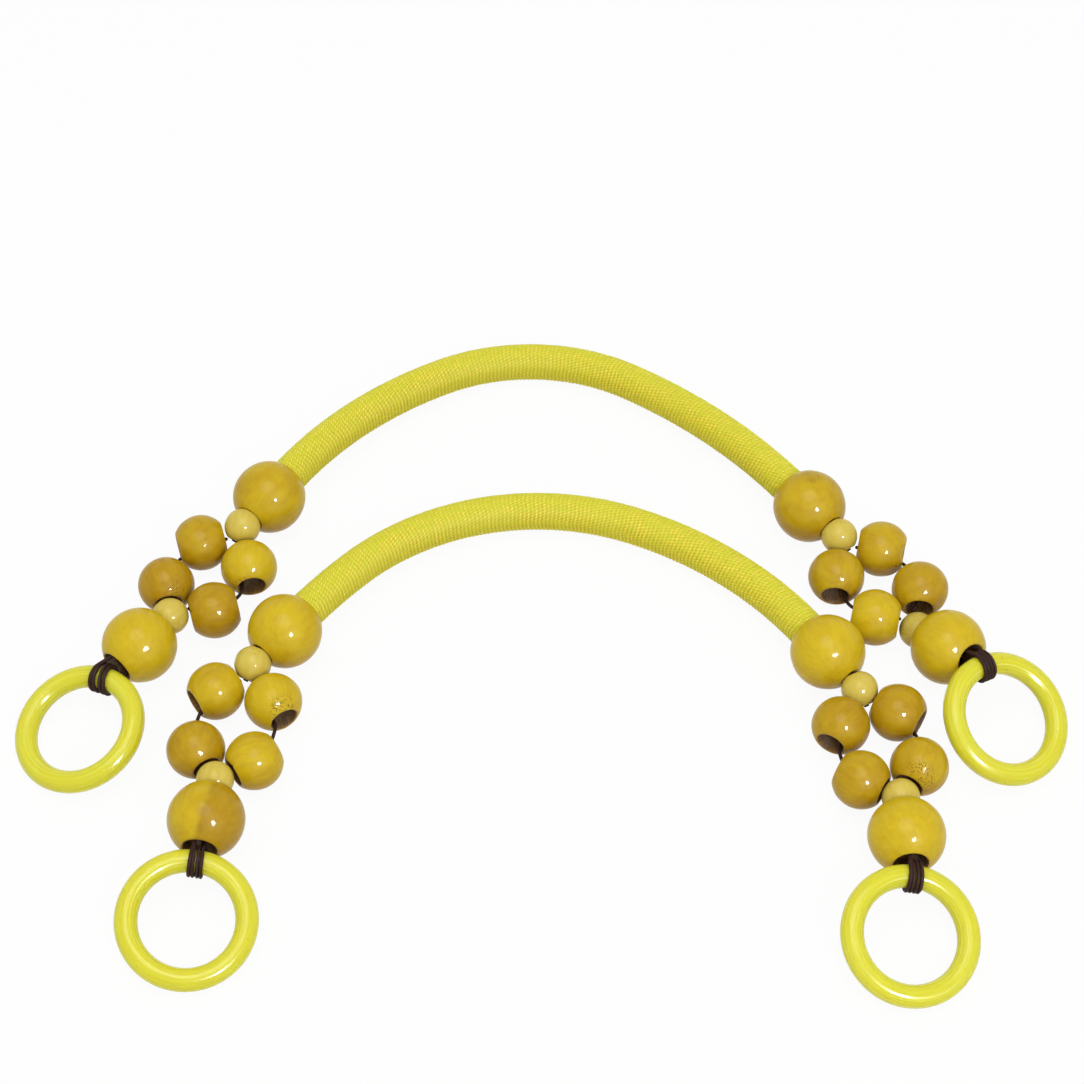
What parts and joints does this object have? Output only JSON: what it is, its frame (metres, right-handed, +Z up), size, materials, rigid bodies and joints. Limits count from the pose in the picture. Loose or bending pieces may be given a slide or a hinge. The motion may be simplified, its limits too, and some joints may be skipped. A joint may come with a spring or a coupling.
{
  "type": "bag handles",
  "caption": "Curved bag handles with fabric-covered grips, each end a chain and a loop of wooden beads lashed with cord to a resin ring.",
  "frame": {"origin": "middle of the pair's footprint, on the table both handles lie on", "axes": "+X to the viewer's right along both handles, +Y away from the viewer towards the back handle's crest, +Z up"},
  "size_m": [0.345, 0.2582, 0.025],
  "materials": {
    "bead_wood": "satin lacquer",
    "spacer_wood": "satin lacquer",
    "sleeve_fabric": "ribbed weave",
    "core_rubber": "matte",
    "cord": "waxed cord",
    "ring_resin": "polished"
  },
  "bodies": {
    "back_grip": {"back_grip_sleeve": "sleeve_fabric", "back_grip_core": "core_rubber", "back_grip_cord": "cord", "back_cord_knot": "cord", "back_left_collar_bead": "bead_wood", "back_right_collar_bead": "bead_wood"},
    "front_grip": {"front_grip_sleeve": "sleeve_fabric", "front_grip_core": "core_rubber", "front_grip_cord": "cord", "front_cord_knot": "cord", "front_left_collar_bead": "bead_wood", "front_right_collar_bead": "bead_wood"},
    "back_left_near_spacer": {"back_left_near_spacer_bead": "spacer_wood", "back_left_near_spacer_cord": "cord"},
    "back_left_loop": {"back_left_loop_strands": "cord"},
    "back_left_near_outer": {"back_left_near_outer_bead": "bead_wood"},
    "back_left_near_inner": {"back_left_near_inner_bead": "bead_wood"},
    "back_left_far_outer": {"back_left_far_outer_bead": "bead_wood"},
    "back_left_far_inner": {"back_left_far_inner_bead": "bead_wood"},
    "back_left_far_spacer": {"back_left_far_spacer_bead": "spacer_wood", "back_left_far_spacer_cord": "cord"},
    "back_left_lashing": {"back_left_lashing": "cord"},
    "back_left_ring_bead": {"back_left_ring_bead": "bead_wood"},
    "back_left_ring": {"back_left_ring": "ring_resin"},
    "back_right_near_spacer": {"back_right_near_spacer_bead": "spacer_wood", "back_right_near_spacer_cord": "cord"},
    "back_right_loop": {"back_right_loop_strands": "cord"},
    "back_right_near_outer": {"back_right_near_outer_bead": "bead_wood"},
    "back_right_near_inner": {"back_right_near_inner_bead": "bead_wood"},
    "back_right_far_outer": {"back_right_far_outer_bead": "bead_wood"},
    "back_right_far_inner": {"back_right_far_inner_bead": "bead_wood"},
    "back_right_far_spacer": {"back_right_far_spacer_bead": "spacer_wood", "back_right_far_spacer_cord": "cord"},
    "back_right_lashing": {"back_right_lashing": "cord"},
    "back_right_ring_bead": {"back_right_ring_bead": "bead_wood"},
    "back_right_ring": {"back_right_ring": "ring_resin"},
    "front_left_near_spacer": {"front_left_near_spacer_bead": "spacer_wood", "front_left_near_spacer_cord": "cord"},
    "front_left_loop": {"front_left_loop_strands": "cord"},
    "front_left_near_outer": {"front_left_near_outer_bead": "bead_wood"},
    "front_left_near_inner": {"front_left_near_inner_bead": "bead_wood"},
    "front_left_far_outer": {"front_left_far_outer_bead": "bead_wood"},
    "front_left_far_inner": {"front_left_far_inner_bead": "bead_wood"},
    "front_left_far_spacer": {"front_left_far_spacer_bead": "spacer_wood", "front_left_far_spacer_cord": "cord"},
    "front_left_lashing": {"front_left_lashing": "cord"},
    "front_left_ring_bead": {"front_left_ring_bead": "bead_wood"},
    "front_left_ring": {"front_left_ring": "ring_resin"},
    "front_right_near_spacer": {"front_right_near_spacer_bead": "spacer_wood", "front_right_near_spacer_cord": "cord"},
    "front_right_loop": {"front_right_loop_strands": "cord"},
    "front_right_near_outer": {"front_right_near_outer_bead": "bead_wood"},
    "front_right_near_inner": {"front_right_near_inner_bead": "bead_wood"},
    "front_right_far_outer": {"front_right_far_outer_bead": "bead_wood"},
    "front_right_far_inner": {"front_right_far_inner_bead": "bead_wood"},
    "front_right_far_spacer": {"front_right_far_spacer_bead": "spacer_wood", "front_right_far_spacer_cord": "cord"},
    "front_right_lashing": {"front_right_lashing": "cord"},
    "front_right_ring_bead": {"front_right_ring_bead": "bead_wood"},
    "front_right_ring": {"front_right_ring": "ring_resin"}
  },
  "joints": [
    {"name": "front_handle_lift", "type": "slide", "parent": "back_grip", "child": "front_grip", "axis": [0, 0, 1], "range_m": [0, 0.15]},
    {"name": "back_left_chain_swing", "type": "hinge", "parent": "back_grip", "child": "back_left_near_spacer", "pos_m": [-0.1023, 0.04488, 0.01318], "axis": [0, 0, 1], "range_deg": [-30, 2]},
    {"name": "back_left_chain_fold", "type": "hinge", "parent": "back_left_near_spacer", "child": "back_left_loop", "pos_m": [-0.1023, 0.04488, 0.01318], "axis": [-0.8572, 0.515, 0], "range_deg": [0, 60]},
    {"name": "back_left_near_outer_spin", "type": "hinge", "parent": "back_left_loop", "child": "back_left_near_outer", "pos_m": [-0.11646, 0.04053, 0.0096], "axis": [-0.956, -0.2934, 0], "continuous": true},
    {"name": "back_left_near_inner_spin", "type": "hinge", "parent": "back_left_loop", "child": "back_left_near_inner", "pos_m": [-0.09949, 0.03034, 0.0096], "axis": [0.1897, -0.9818, 0], "continuous": true},
    {"name": "back_left_far_outer_spin", "type": "hinge", "parent": "back_left_loop", "child": "back_left_far_outer", "pos_m": [-0.12697, 0.02305, 0.0096], "axis": [-0.198, 0.9802, 0], "continuous": true},
    {"name": "back_left_far_inner_spin", "type": "hinge", "parent": "back_left_loop", "child": "back_left_far_inner", "pos_m": [-0.11, 0.01285, 0.0096], "axis": [0.9584, 0.2854, 0], "continuous": true},
    {"name": "back_left_bead_swing", "type": "hinge", "parent": "back_left_loop", "child": "back_left_far_spacer", "pos_m": [-0.12406, 0.00866, 0.0125], "axis": [0, 0, 1], "range_deg": [-30, 10]},
    {"name": "back_left_bead_fold", "type": "hinge", "parent": "back_left_far_spacer", "child": "back_left_lashing", "pos_m": [-0.12406, 0.00866, 0.0125], "axis": [-0.7826, 0.6225, 0], "range_deg": [0, 40]},
    {"name": "back_left_ring_bead_spin", "type": "hinge", "parent": "back_left_lashing", "child": "back_left_ring_bead", "pos_m": [-0.13322, -0.00285, 0.0125], "axis": [-0.6225, -0.7826, 0], "continuous": true},
    {"name": "back_left_ring_flip", "type": "hinge", "parent": "back_left_lashing", "child": "back_left_ring", "pos_m": [-0.14355, -0.01584, 0.0125], "axis": [-0.8944, 0.4102, -0.1785], "range_deg": [-30, 75]},
    {"name": "back_right_chain_swing", "type": "hinge", "parent": "back_grip", "child": "back_right_near_spacer", "pos_m": [0.10179, 0.04116, 0.01273], "axis": [0, 0, -1], "range_deg": [-30, 0]},
    {"name": "back_right_chain_fold", "type": "hinge", "parent": "back_right_near_spacer", "child": "back_right_loop", "pos_m": [0.10179, 0.04116, 0.01273], "axis": [-0.8141, -0.5807, 0], "range_deg": [0, 60]},
    {"name": "back_right_near_outer_spin", "type": "hinge", "parent": "back_right_loop", "child": "back_right_near_outer", "pos_m": [0.11617, 0.03796, 0.0096], "axis": [0.9761, -0.2171, 0], "continuous": true},
    {"name": "back_right_near_inner_spin", "type": "hinge", "parent": "back_right_loop", "child": "back_right_near_inner", "pos_m": [0.10014, 0.02652, 0.0096], "axis": [-0.1125, -0.9936, 0], "continuous": true},
    {"name": "back_right_far_outer_spin", "type": "hinge", "parent": "back_right_loop", "child": "back_right_far_outer", "pos_m": [0.12802, 0.02135, 0.0096], "axis": [0.1167, 0.9932, 0], "continuous": true},
    {"name": "back_right_far_inner_spin", "type": "hinge", "parent": "back_right_loop", "child": "back_right_far_inner", "pos_m": [0.11198, 0.00991, 0.0096], "axis": [-0.9771, 0.213, 0], "continuous": true},
    {"name": "back_right_bead_swing", "type": "hinge", "parent": "back_right_loop", "child": "back_right_far_spacer", "pos_m": [0.12631, 0.00679, 0.00675], "axis": [0, 0, -1], "range_deg": [-30, 0]},
    {"name": "back_right_bead_fold", "type": "hinge", "parent": "back_right_far_spacer", "child": "back_right_lashing", "pos_m": [0.12631, 0.00679, 0.00675], "axis": [-0.7771, -0.6293, 0], "range_deg": [0, 40]},
    {"name": "back_right_ring_bead_spin", "type": "hinge", "parent": "back_right_lashing", "child": "back_right_ring_bead", "pos_m": [0.13483, -0.00373, 0.0125], "axis": [0.5793, -0.7154, 0.3907], "continuous": true},
    {"name": "back_right_ring_flip", "type": "hinge", "parent": "back_right_lashing", "child": "back_right_ring", "pos_m": [0.1439, -0.01493, 0.01862], "axis": [-0.8591, -0.4804, 0.1766], "range_deg": [-30, 75]},
    {"name": "front_left_chain_swing", "type": "hinge", "parent": "front_grip", "child": "front_left_near_spacer", "pos_m": [-0.09528, -0.01032, 0.01251], "axis": [0, 0, 1], "range_deg": [-3, 10]},
    {"name": "front_left_chain_fold", "type": "hinge", "parent": "front_left_near_spacer", "child": "front_left_loop", "pos_m": [-0.09528, -0.01032, 0.01251], "axis": [-0.9781, 0.2079, 0], "range_deg": [0, 60]},
    {"name": "front_left_near_outer_spin", "type": "hinge", "parent": "front_left_loop", "child": "front_left_near_outer", "pos_m": [-0.10718, -0.01891, 0.0096], "axis": [-0.8105, -0.5857, 0], "continuous": true},
    {"name": "front_left_near_inner_spin", "type": "hinge", "parent": "front_left_loop", "child": "front_left_near_inner", "pos_m": [-0.08791, -0.02301, 0.0096], "axis": [0.5023, -0.8647, 0], "continuous": true},
    {"name": "front_left_far_outer_spin", "type": "hinge", "parent": "front_left_loop", "child": "front_left_far_outer", "pos_m": [-0.11192, -0.04122, 0.0096], "axis": [-0.5107, 0.8597, 0], "continuous": true},
    {"name": "front_left_far_inner_spin", "type": "hinge", "parent": "front_left_loop", "child": "front_left_far_inner", "pos_m": [-0.09265, -0.04531, 0.0096], "axis": [0.8163, 0.5777, 0], "continuous": true},
    {"name": "front_left_bead_swing", "type": "hinge", "parent": "front_left_loop", "child": "front_left_far_spacer", "pos_m": [-0.10451, -0.0537, 0.01199], "axis": [0, 0, 1], "range_deg": [-10, 20]},
    {"name": "front_left_bead_fold", "type": "hinge", "parent": "front_left_far_spacer", "child": "front_left_lashing", "pos_m": [-0.10451, -0.0537, 0.01199], "axis": [-0.9936, 0.1132, 0], "range_deg": [0, 40]},
    {"name": "front_left_ring_bead_spin", "type": "hinge", "parent": "front_left_lashing", "child": "front_left_ring_bead", "pos_m": [-0.10617, -0.0683, 0.0125], "axis": [-0.1131, -0.993, 0.0349], "continuous": true},
    {"name": "front_left_ring_flip", "type": "hinge", "parent": "front_left_lashing", "child": "front_left_ring", "pos_m": [-0.1079, -0.08352, 0.01303], "axis": [-0.9868, 0.0887, 0.1354], "range_deg": [-30, 75]},
    {"name": "front_right_chain_swing", "type": "hinge", "parent": "front_grip", "child": "front_right_near_spacer", "pos_m": [0.10451, -0.01954, 0.01152], "axis": [0, 0, -1], "range_deg": [0, 10]},
    {"name": "front_right_chain_fold", "type": "hinge", "parent": "front_right_near_spacer", "child": "front_right_loop", "pos_m": [0.10451, -0.01954, 0.01152], "axis": [-0.9681, -0.2504, 0], "range_deg": [0, 60]},
    {"name": "front_right_near_outer_spin", "type": "hinge", "parent": "front_right_loop", "child": "front_right_near_outer", "pos_m": [0.11665, -0.02716, 0.0096], "axis": [0.8471, -0.5314, 0], "continuous": true},
    {"name": "front_right_near_inner_spin", "type": "hinge", "parent": "front_right_loop", "child": "front_right_near_inner", "pos_m": [0.09758, -0.03209, 0.0096], "axis": [-0.4833, -0.8755, 0], "continuous": true},
    {"name": "front_right_far_outer_spin", "type": "hinge", "parent": "front_right_loop", "child": "front_right_far_outer", "pos_m": [0.12188, -0.04739, 0.0096], "axis": [0.5042, 0.8636, 0], "continuous": true},
    {"name": "front_right_far_inner_spin", "type": "hinge", "parent": "front_right_loop", "child": "front_right_far_inner", "pos_m": [0.10281, -0.05233, 0.0096], "axis": [-0.8596, 0.5109, 0], "continuous": true},
    {"name": "front_right_bead_swing", "type": "hinge", "parent": "front_right_loop", "child": "front_right_far_spacer", "pos_m": [0.11483, -0.05947, 0.01083], "axis": [0, 0, -1], "range_deg": [-10, 20]},
    {"name": "front_right_bead_fold", "type": "hinge", "parent": "front_right_far_spacer", "child": "front_right_lashing", "pos_m": [0.11483, -0.05947, 0.01083], "axis": [-0.9997, -0.0262, 0], "range_deg": [0, 40]},
    {"name": "front_right_ring_bead_spin", "type": "hinge", "parent": "front_right_lashing", "child": "front_right_ring_bead", "pos_m": [0.11522, -0.07408, 0.0125], "axis": [0.026, -0.9932, 0.1132], "continuous": true},
    {"name": "front_right_ring_flip", "type": "hinge", "parent": "front_right_lashing", "child": "front_right_ring", "pos_m": [0.11562, -0.08939, 0.01425], "axis": [-0.9836, 0.0395, 0.1762], "range_deg": [-30, 75]}
  ]
}
